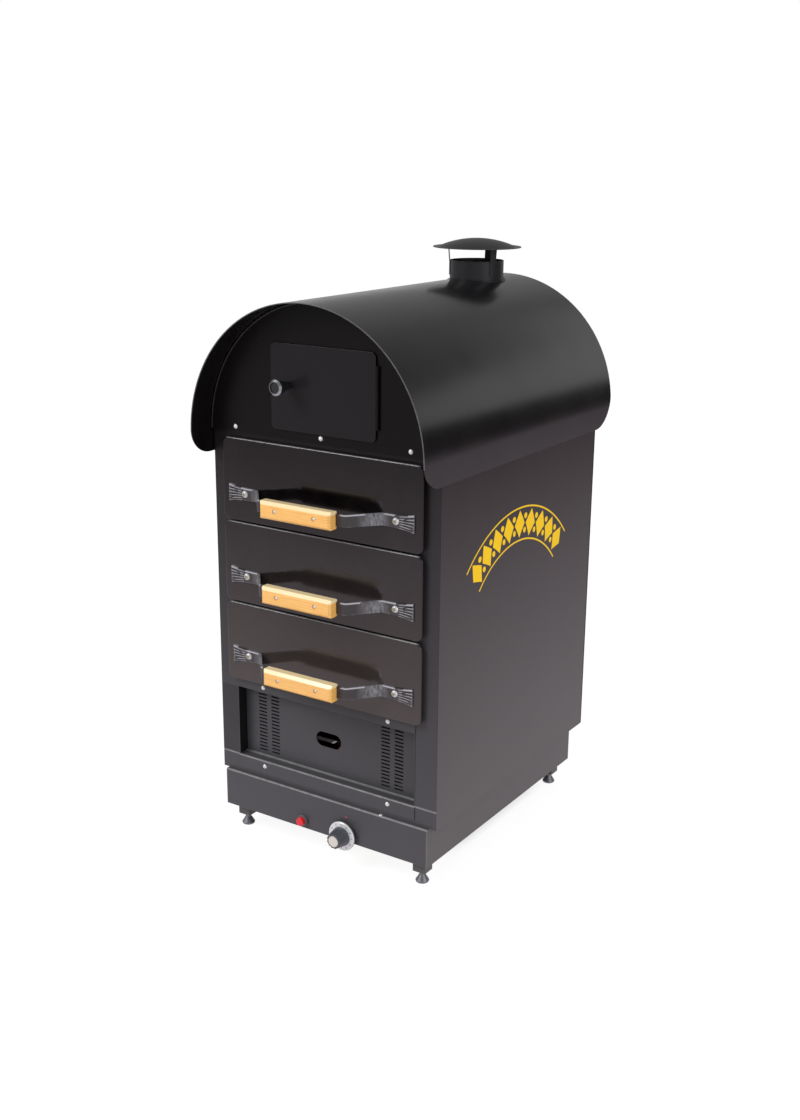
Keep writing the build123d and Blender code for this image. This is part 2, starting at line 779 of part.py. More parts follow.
with BuildPart() as thermostat_cap:
    with BuildSketch(front_plane(dial_front + hub_l - cap_t / 2)):
        with Locations((dial_x, control_z)):
            Circle(cap_r)
    extrude(amount=cap_t)
    fillet(thermostat_cap.faces().sort_by(Axis.Y)[0].edges(), 0.5)
save(thermostat_cap, "thermostat_cap")

# ---- flue ---------------------------------------------------------------------------
saddle_r = flue_r + 4
with BuildPart() as flue_stub:
    # saddle plate lying on the hood's crown
    with BuildSketch(plan_plane(spring_z)):
        with Locations((0, flue_back)):
            Circle(saddle_r)
    extrude(amount=hood_r + 10)
    with BuildSketch(front_plane(-flue_back - saddle_r - 1)):
        with Locations((0, spring_z)):
            Circle(hood_r + sheet)
            Circle(hood_r, mode=Mode.SUBTRACT)
    extrude(amount=2 * saddle_r + 2, mode=Mode.INTERSECT)
    with BuildSketch(plan_plane(spring_z + 1 + sheet)):
        with Locations((0, flue_back)):
            Circle(flue_r)
    extrude(amount=flue_top - spring_z - 1 - sheet)
    with BuildSketch(plan_plane(spring_z + 1 + sheet)):
        with Locations((0, flue_back)):
            Circle(flue_r - sheet)
    extrude(amount=flue_top - spring_z, mode=Mode.SUBTRACT)
save(flue_stub, "flue_stub")

strap_low = flue_top - 26
cowl_dome_r = 70
cowl_t = 1.2
cowl_step = 0.6  # the outer dome springs this far outside the inner one
strap_arc = 14
strap_lean = 3  # outward lean of the straps under the cowl
strap_bend_z = flue_top - 3
strap_angles = [-24, 96, 216]
flue_axis = Axis((0, front_y + flue_back, 0), (0, 0, 1))
flue_centre_plane = Plane((0, front_y + flue_back, 0), x_dir=(1, 0, 0), z_dir=(0, -1, 0))
with BuildPart() as flue_cowl:
    with BuildSketch(flue_centre_plane):
        with BuildLine():
            TangentArc((0, cowl_top - cowl_t), (cowl_dome_r, cowl_rim_z), tangent=(1, 0))
            Polyline(
                (cowl_dome_r, cowl_rim_z),
                (cowl_r, cowl_rim_z),
                (cowl_r, cowl_rim_z + cowl_t),
                (cowl_dome_r + cowl_step, cowl_rim_z + cowl_t),
            )
            TangentArc((0, cowl_top), (cowl_dome_r + cowl_step, cowl_rim_z + cowl_t), tangent=(1, 0))
            Line((0, cowl_top), (0, cowl_top - cowl_t))
        make_face()
    revolve(axis=flue_axis)
save(flue_cowl, "flue_cowl")

with BuildPart() as cowl_straps:
    for angle in strap_angles:
        with BuildSketch(flue_centre_plane.rotated((0, 0, angle - strap_arc / 2), ordering=Extrinsic.XYZ)):
            with BuildLine():
                Polyline(
                    (flue_r, strap_low),
                    (flue_r + cowl_t, strap_low),
                    (flue_r + cowl_t, strap_bend_z),
                    (flue_r + cowl_t + strap_lean, cowl_rim_z + 6.2),
                    (flue_r + strap_lean, cowl_rim_z + 6.6),
                    (flue_r, strap_bend_z),
                    close=True,
                )
            make_face()
        revolve(axis=flue_axis, revolution_arc=strap_arc)
save(cowl_straps, "cowl_straps")

# ---- small screws -------------------------------------------------------------------
panel_screw = round_screw(head_r=4, head_h=2.2, shank_r=screw_r, shank_l=8)
lip_screw = round_screw(head_r=3.4, head_h=2, shank_r=screw_r, shank_l=6)
with BuildPart() as panel_screws:
    for x, z in fascia_screw_spots:
        add(front_plane(fascia_proud).location * Pos(x, z, 0) * panel_screw)
    for x, z in cover_screw_spots:
        add(front_plane(sheet).location * Pos(x, z, 0) * panel_screw)
    for x, z in rear_screw_spots:
        add(front_plane(-body_d).location * Rot(0, 180, 0) * Pos(-x, z, 0) * panel_screw)
    add(plan_plane(body_z).location * Pos(lip_screw_x, -plinth_proud / 2, 0) * lip_screw)
save(panel_screws, "panel_screws")

# ---- top chamber door ---------------------------------------------------------------
stud_r, stud_l = 3, 8  # threaded stud behind the knob
with BuildPart() as top_door_panel:
    with BuildSketch(front_plane(door_proud - sheet)):
        with Locations((door_x, door_z)):
            RectangleRounded(door_w, door_h, door_corner_r)
        with Locations((knob_x, knob_z)):
            Circle(stud_r + running_gap, mode=Mode.SUBTRACT)
    extrude(amount=sheet)
    fillet(top_door_panel.faces().sort_by(Axis.Y)[0].outer_wire().edges(), 0.6)
save(top_door_panel, "top_door_panel")

door_inner_w, door_inner_h = door_opening_w - 8, door_opening_h - 6
door_inner_t = 20
door_inner_r = 3
with BuildPart() as top_door_inner:
    with BuildSketch(front_plane(door_proud - sheet)):
        with Locations((door_x, door_z)):
            RectangleRounded(door_inner_w, door_inner_h, door_inner_r)
    extrude(amount=-door_inner_t)
    fillet(top_door_inner.faces().sort_by(Axis.Y)[-1].edges(), 2)
    with BuildSketch(front_plane(door_proud - sheet)):
        with Locations((knob_x, knob_z)):
            Circle(stud_r + running_gap)
    extrude(amount=-stud_l - 2, mode=Mode.SUBTRACT)
save(top_door_inner, "top_door_inner")

knob_l = 38
knob_r = 13
knob_neck_r = 6
knob_dish_r = 8.5  # recess in the knob's end
knob_dish_d, knob_bevel_d, knob_band_d = 2, 2.5, 4  # depths behind the knob's end
with BuildPart() as top_door_knob:
    with BuildSketch(Plane((knob_x, front_y - door_proud, knob_z), x_dir=(1, 0, 0), z_dir=(0, 0, -1))) as knob_half:
        with BuildLine():
            Polyline(
                (0, knob_l - knob_dish_d),
                (0, -stud_l),
                (stud_r, -stud_l),
                (stud_r, 0),
                (knob_neck_r, 0),
                (knob_r, knob_l - knob_band_d),
                (knob_r, knob_l - knob_bevel_d),
                (knob_dish_r + 1.5, knob_l),
                (knob_dish_r + 0.5, knob_l),
                (knob_dish_r, knob_l - knob_dish_d),
                close=True,
            )
        make_face()
    revolve(axis=Axis((knob_x, front_y, knob_z), (0, 1, 0)))
save(top_door_knob, "top_door_knob")

hinge_r = 2.5
hinge_pin_r = 1.25
leaf_t = 1.1
knuckle_l = 20
knuckle_gap = 0.4
fixed_reach, moving_reach = 4, -13  # leaves, sideways from the hinge axis
knuckle_starts = [door_z - 2.5 * knuckle_l + i * knuckle_l for i in range(5)]


def hinge_leaf(starts, reach, leaf_back, bore_r):
    """Knuckles at the given heights, on a leaf that reaches sideways from the hinge axis."""
    with BuildPart() as leaf:
        for start in starts:
            low = start + knuckle_gap / 2
            with BuildSketch(plan_plane(low)):
                with Locations((hinge_x, -hinge_lift)):
                    Circle(hinge_r)
                with Locations((hinge_x + reach / 2, leaf_back - leaf_t / 2)):
                    Rectangle(abs(reach), leaf_t)
            extrude(amount=knuckle_l - knuckle_gap)
            with BuildSketch(plan_plane(low)):
                with Locations((hinge_x, -hinge_lift)):
                    Circle(bore_r)
            extrude(amount=knuckle_l - knuckle_gap, mode=Mode.SUBTRACT)
    return leaf.part


with BuildPart() as door_hinge_fixed:
    add(hinge_leaf(knuckle_starts[0::2], fixed_reach, -fascia_proud, hinge_pin_r))
    with BuildSketch(plan_plane(knuckle_starts[0])):
        with Locations((hinge_x, -hinge_lift)):
            Circle(hinge_pin_r)
    extrude(amount=5 * knuckle_l)
save(door_hinge_fixed, "door_hinge_fixed")

with BuildPart() as top_door_hinge_leaf:
    add(hinge_leaf(knuckle_starts[1::2], moving_reach, -door_proud + sheet + leaf_t, hinge_pin_r + running_gap))
    with BuildSketch(plan_plane(knuckle_starts[1] + knuckle_gap / 2)):
        with Locations((hinge_x - 9.5, -door_proud + sheet + leaf_t / 2)):
            Rectangle(7, leaf_t)
    extrude(amount=3 * knuckle_l - knuckle_gap)
save(top_door_hinge_leaf, "top_door_hinge_leaf")

catch_w, catch_h = 12, 34
catch_t = 4  # catch plate behind the front frame
catch_corner_r = 2
with BuildPart() as door_catch:
    with BuildSketch(front_plane(-catch_t)):
        with Locations((door_x - door_opening_w / 2 - 7, door_z)):
            RectangleRounded(catch_w, catch_h, catch_corner_r)
    extrude(amount=fascia_proud - sheet + catch_t)
save(door_catch, "door_catch")

# ---- drawers ------------------------------------------------------------------------
bolt_r = 3
handle_bolt = round_screw(head_r=6, head_h=4, shank_r=bolt_r, shank_l=14)
grip_screw_sink = 2  # the grip's screw heads sit just below its face
grip_screw_r = 1.8
grip_screw = round_screw(head_r=3.4, head_h=1.8, shank_r=grip_screw_r, shank_l=grip_t - grip_screw_sink)
grip_sink_r = 3.8
strap_face = pan_proud + strap_t / 2
strap_out = handle_reach - grip_t + strap_t / 2
tine_count = 5
tine_lean = 11  # degrees between neighbouring cuts
tine_reach = 27  # middle of the cuts, out from the bolt
cut_l, cut_w = 24, 1.3
fan_start, fan_swell = bolt_x - 14, bolt_x + 8
strap_bend_r = 7
pan_edge_r = 2
tray_lip = 12
rack_ledge = 14
rack_hole_l, rack_hole_w = 66, 12
rack_pitch_x, rack_pitch_y = 84, 52
grip_top_bevel, grip_bevel, grip_back_bevel = 5.3, 3.5, 2

for name, low in zip(drawer_names, drawer_bottoms):
    handle_z = low + handle_lift

    with BuildPart() as pan:
        with BuildSketch(front_plane(pan_proud - pan_depth)):
            with Locations((0, low + pan_h / 2)):
                RectangleRounded(pan_w, pan_h, pan_corner_r)
        extrude(amount=pan_depth)
        fillet(pan.faces().sort_by(Axis.Y)[0].edges(), pan_edge_r)
        offset(amount=-sheet, openings=pan.faces().sort_by(Axis.Y)[-1])
        with BuildSketch(front_plane(pan_proud)):
            with Locations((-bolt_x, handle_z), (bolt_x, handle_z)):
                Circle(bolt_r + running_gap)
        extrude(amount=-pan_depth, mode=Mode.SUBTRACT)
    save(pan, f"drawer_{name}_front")

    tray_x = tray_w / 2 - thin_sheet / 2
    tray_face = -(pan_proud - sheet) + thin_sheet / 2
    tray_low = low + tray_lift
    with BuildPart() as tray:
        with BuildSketch(plan_plane(tray_low)):
            with BuildLine():
                FilletPolyline(
                    (-tray_x + tray_lip, tray_face),
                    (-tray_x, tray_face),
                    (-tray_x, tray_reach),
                    (tray_x, tray_reach),
                    (tray_x, tray_face),
                    (tray_x - tray_lip, tray_face),
                    radius=bend_r,
                )
            trace(line_width=thin_sheet)
        extrude(amount=tray_h)
        # ledge round the foot of the tray that carries the rack
        with BuildSketch(plan_plane(tray_low)):
            with Locations((0, (tray_face + tray_reach) / 2 + thin_sheet)):
                Rectangle(tray_w - 2, tray_reach - tray_face - 2 * thin_sheet)
                Rectangle(tray_w - 2 - 2 * rack_ledge, tray_reach - tray_face - 4 - 2 * rack_ledge, mode=Mode.SUBTRACT)
        extrude(amount=thin_sheet)
    save(tray, f"drawer_{name}_tray")

    with BuildPart() as rack:
        with BuildSketch(plan_plane(tray_low + thin_sheet)):
            with Locations((0, tray_reach / 2 + 1)):
                Rectangle(tray_w - 2 * thin_sheet - 1, tray_reach - 8)
                with GridLocations(rack_pitch_x, rack_pitch_y, 4, 8):
                    Rectangle(rack_hole_l, rack_hole_w, mode=Mode.SUBTRACT)
        extrude(amount=thin_sheet)
    save(rack, f"drawer_{name}_rack")

    with BuildPart() as strap:
        with BuildSketch(plan_plane(handle_z - strap_fan_h / 2)):
            with BuildLine():
                FilletPolyline(
                    (-strap_half, -strap_face),
                    (-strap_bend_x, -strap_face),
                    (-strap_kink_x, -strap_out),
                    (strap_kink_x, -strap_out),
                    (strap_bend_x, -strap_face),
                    (strap_half, -strap_face),
                    radius=strap_bend_r,
                )
            trace(line_width=strap_t)
        extrude(amount=strap_fan_h)
        # front outline: an even strap that flares into a fish tail at each end
        with BuildSketch(front_plane(0)):
            with BuildLine():
                Spline(
                    (fan_start, handle_z + strap_h / 2),
                    (fan_swell, handle_z + strap_h / 2 + 0.8),
                    (strap_half, handle_z + strap_fan_h / 2),
                    tangents=[(1, 0), (1, 0.3)],
                )
                Line((strap_half, handle_z + strap_fan_h / 2), (strap_half, handle_z - strap_fan_h / 2))
                Spline(
                    (strap_half, handle_z - strap_fan_h / 2),
                    (fan_swell, handle_z - strap_h / 2 - 0.8),
                    (fan_start, handle_z - strap_h / 2),
                    tangents=[(-1, 0.3), (-1, 0)],
                )
                Polyline(
                    (fan_start, handle_z - strap_h / 2),
                    (0, handle_z - strap_h / 2),
                    (0, handle_z + strap_h / 2),
                    (fan_start, handle_z + strap_h / 2),
                )
            make_face()
            mirror(about=Plane.YZ)
        extrude(amount=handle_reach, mode=Mode.INTERSECT)
        # cuts that split each fish tail into tines, fanning out from the bolt
        with BuildSketch(front_plane(pan_proud - 1)):
            for side in (-1, 1):
                for i in range(tine_count - 1):
                    lean = (i - (tine_count - 2) / 2) * tine_lean
                    turn = lean if side > 0 else 180 - lean
                    centre = (
                        side * bolt_x + tine_reach * math.cos(math.radians(turn)),
                        handle_z + tine_reach * math.sin(math.radians(turn)),
                    )
                    with Locations(centre):
                        Rectangle(cut_l, cut_w, rotation=turn)
        extrude(amount=strap_t + 2, mode=Mode.SUBTRACT)
        with BuildSketch(front_plane(0)):
            with Locations((-bolt_x, handle_z), (bolt_x, handle_z)):
                Circle(bolt_r + running_gap)
            with Locations((-grip_screw_x, handle_z), (grip_screw_x, handle_z)):
                Circle(grip_screw_r + running_gap)
        extrude(amount=handle_reach, mode=Mode.SUBTRACT)
    save(strap, f"drawer_{name}_handle")

    with BuildPart() as grip:
        with BuildSketch(front_plane(handle_reach - grip_t)):
            with Locations((0, handle_z)):
                Rectangle(grip_l, grip_h)
        extrude(amount=grip_t)
        chamfer(grip.edges().group_by(Axis.Y)[0].sort_by(Axis.Z)[-1], grip_top_bevel)
        chamfer(grip.edges().group_by(Axis.Y)[0].sort_by(Axis.Z)[:-1], grip_bevel)
        chamfer(grip.edges().filter_by(Axis.X).group_by(Axis.Y)[-1], grip_back_bevel)
        with BuildSketch(front_plane(handle_reach - grip_t)):
            with Locations((0, handle_z)):
                Rectangle(grip_l, strap_h + 0.2)
        extrude(amount=strap_t, mode=Mode.SUBTRACT)
        with BuildSketch(front_plane(handle_reach)):
            with Locations((-grip_screw_x, handle_z), (grip_screw_x, handle_z)):
                Circle(grip_screw_r + running_gap)
        extrude(amount=-grip_t, mode=Mode.SUBTRACT)
        with BuildSketch(front_plane(handle_reach)):
            with Locations((-grip_screw_x, handle_z), (grip_screw_x, handle_z)):
                Circle(grip_sink_r)
        extrude(amount=-grip_screw_sink, mode=Mode.SUBTRACT)
    save(grip, f"drawer_{name}_grip")

    with BuildPart() as drawer_screws:
        for side in (-1, 1):
            add(front_plane(pan_proud + strap_t).location * Pos(side * bolt_x, handle_z, 0) * handle_bolt)
            grip_face = front_plane(handle_reach - grip_screw_sink)
            add(grip_face.location * Pos(side * grip_screw_x, handle_z, 0) * grip_screw)
    save(drawer_screws, f"drawer_{name}_screws")
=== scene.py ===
# %% [markdown]
# # A baked potato oven in Blender
# The solids of the oven come in as a fixed frame: the casing, three drawers, a hood, a small
# door, a burner cover and a plinth with its controls. What is left to do here is what makes
# sheet metal, wood and plastic look like themselves: their finishes, with the paint, print
# and wear that have no solid of their own. Everything is in metres, +Z is up and the drawers
# face -Y.

# %% Load the frame
import math

import bpy
from mathutils import Matrix, Vector


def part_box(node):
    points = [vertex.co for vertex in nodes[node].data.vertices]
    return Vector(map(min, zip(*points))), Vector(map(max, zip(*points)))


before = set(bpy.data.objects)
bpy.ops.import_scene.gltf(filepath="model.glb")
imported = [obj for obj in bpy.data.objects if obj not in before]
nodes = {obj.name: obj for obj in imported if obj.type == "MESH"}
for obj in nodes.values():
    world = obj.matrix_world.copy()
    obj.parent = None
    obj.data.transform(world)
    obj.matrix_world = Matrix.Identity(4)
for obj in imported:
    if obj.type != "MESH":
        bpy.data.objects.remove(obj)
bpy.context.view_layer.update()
drawers = ("top", "middle", "bottom")
bpy.ops.object.select_all(action="DESELECT")

# %% [markdown]
# ## The camera
# The oven is seen from its front right and a little above, through a long lens that keeps
# its upright edges nearly parallel. The camera could be aimed with a constraint at a target,
# but plain angles are kept, because they can be read and changed one by one.

# %% Camera
camera_place = Vector((1.2876, -2.0029, 1.1917))
camera_turn, camera_dip, camera_roll = math.radians(33.08), math.radians(16.75), math.radians(0.48)
sensor_width = 36  # millimetres
frame_pixels, focal_pixels = 800, 1382.1  # the frame's width, and the lens in the same unit
bpy.ops.object.camera_add(location=camera_place)
camera = bpy.context.object
camera.name = "camera"
camera.rotation_euler = (
    Matrix.Rotation(camera_turn, 3, "Z")
    @ Matrix.Rotation(math.pi / 2 - camera_dip, 3, "X")
    @ Matrix.Rotation(camera_roll, 3, "Z")
).to_euler()
camera.data.sensor_fit = "HORIZONTAL"
camera.data.sensor_width = sensor_width
camera.data.lens = focal_pixels * sensor_width / frame_pixels
bpy.context.scene.camera = camera
bpy.context.scene.view_settings.view_transform = "Standard"
print("camera at", tuple(camera_place), "lens", round(camera.data.lens, 1), "mm")

# %% [markdown]
# ## Shader maths as plain expressions
# A material is a net of nodes, and most nets are sums: a colour here, a little more rough
# there. Wiring each Math node by hand hides the sum. A small class that wraps a socket lets
# Python's own operators add the nodes, so a mask reads as one line.


# %% A socket that can be added and multiplied
class Net:
    """One material's node tree, with a method that makes any node."""

    def __init__(self, name, tree=None):
        self.material = None
        if tree is None:
            self.material = bpy.data.materials.new(name)
            self.material.use_nodes = True
            tree = self.material.node_tree
        self.tree = tree
        self.tree.nodes.clear()

    def output(self, kind, shader):
        """Wires the closing shader to the tree's output."""
        self.tree.links.new(shader.socket, self.tree.nodes.new(kind).inputs["Surface"])
        return self.material

    def node(self, kind, settings=None, output=0, **sockets):
        """Adds a node. Settings are its own choices, with a ramp's colours under stops.

        Sockets go by name, or by number as i0, i1 and so on.
        """
        made = self.tree.nodes.new(kind)
        for key, value in (settings or {}).items():
            if key == "stops":
                for element, (place, colour) in zip(spare_stops(made, len(value)), value):
                    element.position = place
                    element.color = colour
            else:
                setattr(made, key, value)
        for key, value in sockets.items():
            numbered_socket = key[0] == "i" and key[1:].isdigit()
            target = made.inputs[int(key[1:]) if numbered_socket else key.replace("_", " ")]
            if isinstance(value, Wire):
                self.tree.links.new(value.socket, target)
            else:
                target.default_value = value
        return Wire(self, made.outputs[output])


def spare_stops(ramp, count):
    """The ramp's colour stops, with as many as are asked for."""
    while len(ramp.color_ramp.elements) < count:
        ramp.color_ramp.elements.new(1)
    return list(ramp.color_ramp.elements)


def numbered(values):
    """Names the second and later inputs of a node by their number."""
    return {f"i{i}": value for i, value in enumerate(values, 1)}


class Wire:
    """One output socket. Adding or multiplying it adds a Math node."""

    def __init__(self, net, socket):
        self.net, self.socket = net, socket

    def sibling(self, name):
        """Another output of the same node."""
        return Wire(self.net, self.socket.node.outputs[name])

    def maths(self, operation, *others):
        """A Math node whose first input is this wire."""
        settings = {"operation": operation}
        return self.net.node("ShaderNodeMath", settings, i0=self, **numbered(others))

    def __add__(self, other):
        return self.maths("ADD", other)

    def __sub__(self, other):
        return self.maths("SUBTRACT", other)

    def __mul__(self, other):
        return self.maths("MULTIPLY", other)

    def __rsub__(self, other):
        return self.maths("MULTIPLY", -1) + other

    __radd__ = __add__
    __rmul__ = __mul__

    def clamp(self):
        """Cut off below 0 and above 1."""
        return self.maths("MINIMUM", 1.0).maths("MAXIMUM", 0.0)

    def size(self):
        """Without its sign."""
        return self.maths("ABSOLUTE")

    def most(self, other):
        """The larger of the two, so that masks can overlap."""
        return self.maths("MAXIMUM", other)

    def wave(self, length):
        """A smooth ripple between 0 and 1 that repeats after the given length."""
        return (self * (2 * math.pi / length)).maths("SINE") * 0.5 + 0.5

    def over(self, edge, soft):
        """0 below the edge and 1 above it, with a soft step."""
        return ((self - (edge - soft / 2)) * (1 / soft)).clamp()


print("shader helpers ready")

# %% [markdown]
# ## Helpers that every finish uses
# Four things come back in each finish: where on the piece a point is, cloudy noise at a given
# size, a blend of two colours by a mask, and the closing shader with its bump. Masks are made
# of distances, so there are helpers for a band of places and for the distance to an axis.


# %% Place, noise, blend and close
def place(net):
    """The point in metres, in the oven's own frame, and its three coordinates."""
    spot = net.node("ShaderNodeTexCoord", output=3)
    split = net.node("ShaderNodeSeparateXYZ", Vector=spot)
    x, y, z = (Wire(net, split.socket.node.outputs[i]) for i in range(3))
    return spot, x, y, z


def stretched(net, spot, scale):
    """The place with each axis scaled, so that a pattern comes out drawn along one axis."""
    return net.node("ShaderNodeMapping", {"vector_type": "POINT"}, Vector=spot, Scale=scale)


def cloud(net, spot, size, detail=3.0, rough=0.5):
    """Noise between 0 and 1 whose blobs are about the given size in metres."""
    return net.node(
        "ShaderNodeTexNoise", {"noise_dimensions": "3D"},
        Vector=spot, Scale=1 / size, Detail=detail, Roughness=rough,
    )


def sway(noise, amount):
    """The noise as a change about zero, half the amount each way."""
    return (noise - 0.5) * amount


def off_axis(across, up):
    """The distance from an axis, worked out from the offsets across it."""
    return (across * across + up * up).maths("SQRT")


def near(value, target, width):
    """1 within the width of the target and 0 elsewhere, with a soft edge."""
    return 1 - (value - target).size().over(width, width * 0.6)


def between(value, low, high, soft):
    """1 from the low value to the high one, with soft ends of the given width."""
    return value.over(low, soft) * (1 - value.over(high, soft))


def blend(net, mask, low, high):
    """The low colour where the mask is 0 and the high one where it is 1."""
    return net.node("ShaderNodeMix", {"data_type": "RGBA"}, output=2, i0=mask, i6=low, i7=high)


def bump(net, height, strength):
    """A normal that leans with the height, in metres."""
    return net.node("ShaderNodeBump", Height=height, Distance=1.0, Strength=strength)


def close(net, **sockets):
    """The principled shader with its sockets, wired to the output."""
    shader = net.node("ShaderNodeBsdfPrincipled", **sockets)
    return net.output("ShaderNodeOutputMaterial", shader)


def rgb(r, g, b):
    """A colour as it looks on screen, 0 to 255, in the linear values that shaders use."""
    def linear(c):
        c = c / 255
        return c / 12.92 if c <= 0.04045 else ((c + 0.055) / 1.055) ** 2.4

    return (linear(r), linear(g), linear(b), 1)


def dress(material, *names):
    """Gives CAD nodes a finish."""
    for name in names:
        mesh = nodes[name].data
        mesh.materials.clear()
        mesh.materials.append(material)


print("finish helpers ready")

# %% [markdown]
# ## Black enamel
# The casing is mild steel, sprayed and baked in a semi-gloss black. Up close it has the fine
# orange peel of sprayed paint, and light catches faint cloudy marks where it was wiped. The
# colour could be left flat, but then the broad side would look like card: what sells paint is
# that its gloss changes from place to place while its colour hardly does. Its colour is also
# painted paler towards the floor: painted light, for the brighter light on the lower paint.

# %% Black enamel
painted_light_low, painted_light_high = 0.06, 0.72  # the heights where the painted light is full and where it ends
wiped_size, grit_size, peel_size, sag_size = 0.11, 0.012, 0.0016, 0.16
wiped_stretch = (1, 1, 0.45)  # wiped marks run upright
peel_height, sag_height, relief = 0.00002, 0.0008, 0.55
# the grey of the painted edge highlights
painted_highlight_grey = rgb(148, 146, 148)
# the black of the painted shade
painted_shade_black = rgb(6, 6, 7)


def enamel(
    name, black, painted_paler, gloss, shine, seed=0.0, fall=1.0, edge_highlight=None, painted=None, painted_shade=None
):
    """Sprayed paint. Fall sets how soon the painted light on the lower paint fades with height.

    Edge highlight and painted shade give masks of painted light and shade from the place. Painted
    gives a printed mask with its colour.
    """
    net = Net(name)
    spot, x, y, z = place(net)
    shifted = net.node("ShaderNodeMapping", Vector=spot, Location=(seed, seed * 0.7, -seed))
    wiped = cloud(net, stretched(net, shifted, wiped_stretch), wiped_size, 4, 0.55)
    grit = cloud(net, shifted, grit_size, 3, 0.6)
    peel = cloud(net, shifted, peel_size, 2, 0.5)
    sag = cloud(net, shifted, sag_size, 1, 0.4)
    # painted light: the colour pales towards the floor, for the brighter light on the lower paint;
    # the wiped and grit clouds add random mottle
    height = (z - painted_light_low) * (1 / (painted_light_high - painted_light_low))
    painted_light_and_mottle = (1 - height).clamp().maths("POWER", fall) + sway(wiped, 0.16) + sway(grit, 0.07)
    colour = blend(net, painted_light_and_mottle.clamp(), black, painted_paler)
    rough = gloss + sway(wiped, 0.16) + sway(grit, 0.06)
    # painted highlight along the edges, flecked by the grit cloud
    if edge_highlight:
        bright = edge_highlight(x, y, z) * (grit * 1.2 + 0.2).clamp()
        colour = blend(net, bright.clamp(), colour, painted_highlight_grey)
    # painted shade, blended towards black
    if painted_shade:
        colour = blend(net, painted_shade(x, y, z), colour, painted_shade_black)
    if painted:
        mask, ink = painted
        drawn = mask(x, y, z)
        colour = blend(net, drawn, colour, ink)
        rough = rough + drawn * 0.1
    return close(
        net,
        Base_Color=colour,
        Roughness=rough.clamp(),
        Specular_IOR_Level=shine,
        Normal=bump(net, peel * peel_height + sag * sag_height, relief),
    )


print("enamel dusty from", painted_light_high, "down to", painted_light_low)

# %% [markdown]
# Where sheet is folded or cut, the edge catches the light, so each edge gets a painted
# highlight: a fine grey line. A line is a narrow band of places, found from the node's own
# box. The drawers repeat, so their height is folded by the drawer pitch and one finish
# serves all three.

# %% Painted edge highlights
edge_line, arch_line_half, fold_line = 0.0011, 0.0014, 0.0016  # half widths
fold_reach = 0.003  # how far back from the front a fold's painted highlight reaches
hood_highlight, fascia_highlight, drawer_highlight, base_highlight = 0.4, 0.22, 0.62, 0.8  # how strong each edge's painted highlight is
ledge_front, ledge_back = 0.0245, 0.0255  # the ledge's edges, over the burner cover's foot
drawer_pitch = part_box("drawer_top_front")[0].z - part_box("drawer_middle_front")[0].z
handle_height = sum(corner.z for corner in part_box("drawer_bottom_handle")) / 2


def drawer_step(z, middle):
    """Height above the middle, the same for each of the three drawers."""
    return (z - (middle - drawer_pitch / 2)).maths("MODULO", drawer_pitch) - drawer_pitch / 2


def hood_rim(x, y, z):
    """The painted highlight on the hood's front edge."""
    return near(y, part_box("hood")[0].y, edge_line) * hood_highlight


def fascia_rim(x, y, z):
    """The painted highlight on the left half of the fascia's arched edge, where the light falls."""
    low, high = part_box("fascia")
    radius = off_axis(x, z - low.z)
    left_half = 1 - x.over(-0.02, 0.04)
    return near(radius, high.x - arch_line_half, arch_line_half) * fascia_highlight * left_half


def drawer_rim(x, y, z):
    """The painted highlight on the top fold of each drawer front."""
    low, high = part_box("drawer_bottom_front")
    start = low.z - 0.001
    folded = (z - start).maths("MODULO", drawer_pitch) + start
    top = near(folded, high.z - 0.0006, 0.001)
    return top * near(y, low.y + 0.001, 0.002) * drawer_highlight


def base_rims(x, y, z):
    """Painted highlights on the plinth's top fold, its corners and the ledge under the burner
    cover.
    """
    plinth_low, plinth_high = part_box("plinth_front")
    plinth_face = near(y, plinth_low.y, fold_reach)
    plinth_fold = near(z, plinth_high.z - 0.0005, fold_line) * plinth_face
    plinth_corner = near(x.size(), plinth_high.x, fold_line) * plinth_face
    cover_low, cover_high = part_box("burner_cover")
    ledge = near(z, cover_low.z + ledge_front, fold_line) * near(y, cover_low.y, 0.0025)
    back_fold = near(z, cover_low.z + ledge_back, 0.0012) * near(y, cover_high.y - 0.002, 0.004)
    return plinth_fold.most(plinth_corner * 0.5).most(ledge).most(back_fold * 0.9) * base_highlight


print("drawer pitch", round(drawer_pitch, 4), "lowest handle at", round(handle_height, 4))

# %% [markdown]
# Two small marks go with the base. A red dot over the dial shows where its setting is read,
# and the left cheek of the burner cover's recess is painted dark, as painted shade. Both are
# masks too, so they need no mesh that could come loose from the sheet.

# %% Index dot and painted shade on the cheek
index_x, index_z, index_r, index_soft = 0.05, 0.091, 0.0014, 0.0006
cheek_w, cheek_front, cheek_foot, cheek_top = 0.0022, 0.0016, 0.147, 0.2745
cheek_shade = 0.9


def index_dot(x, y, z):
    """A red dot on the plinth, just above the dial."""
    dot = 1 - off_axis(x - index_x, z - index_z).over(index_r, index_soft)
    return dot * (1 - y.over(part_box("plinth_front")[0].y + 0.002, 0.001))


def recess_cheek(x, y, z):
    """Painted shade on the left cheek of the burner cover's recess."""
    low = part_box("burner_cover")[0]
    inner_face = (1 - x.over(low.x + cheek_w, 0.0008)) * y.over(low.y + cheek_front, 0.001)
    return inner_face * between(z, cheek_foot, cheek_top, 0.001) * cheek_shade


print("index dot at", (index_x, index_z))

# %% [markdown]
# The right side carries a painted arch. A band between two thin lines is filled with
# lozenges and dots, all worked out from the angle and the distance to the arch's centre, the
# way a stencil cutter would set it out. It is pure paint, so it has no mesh of its own.

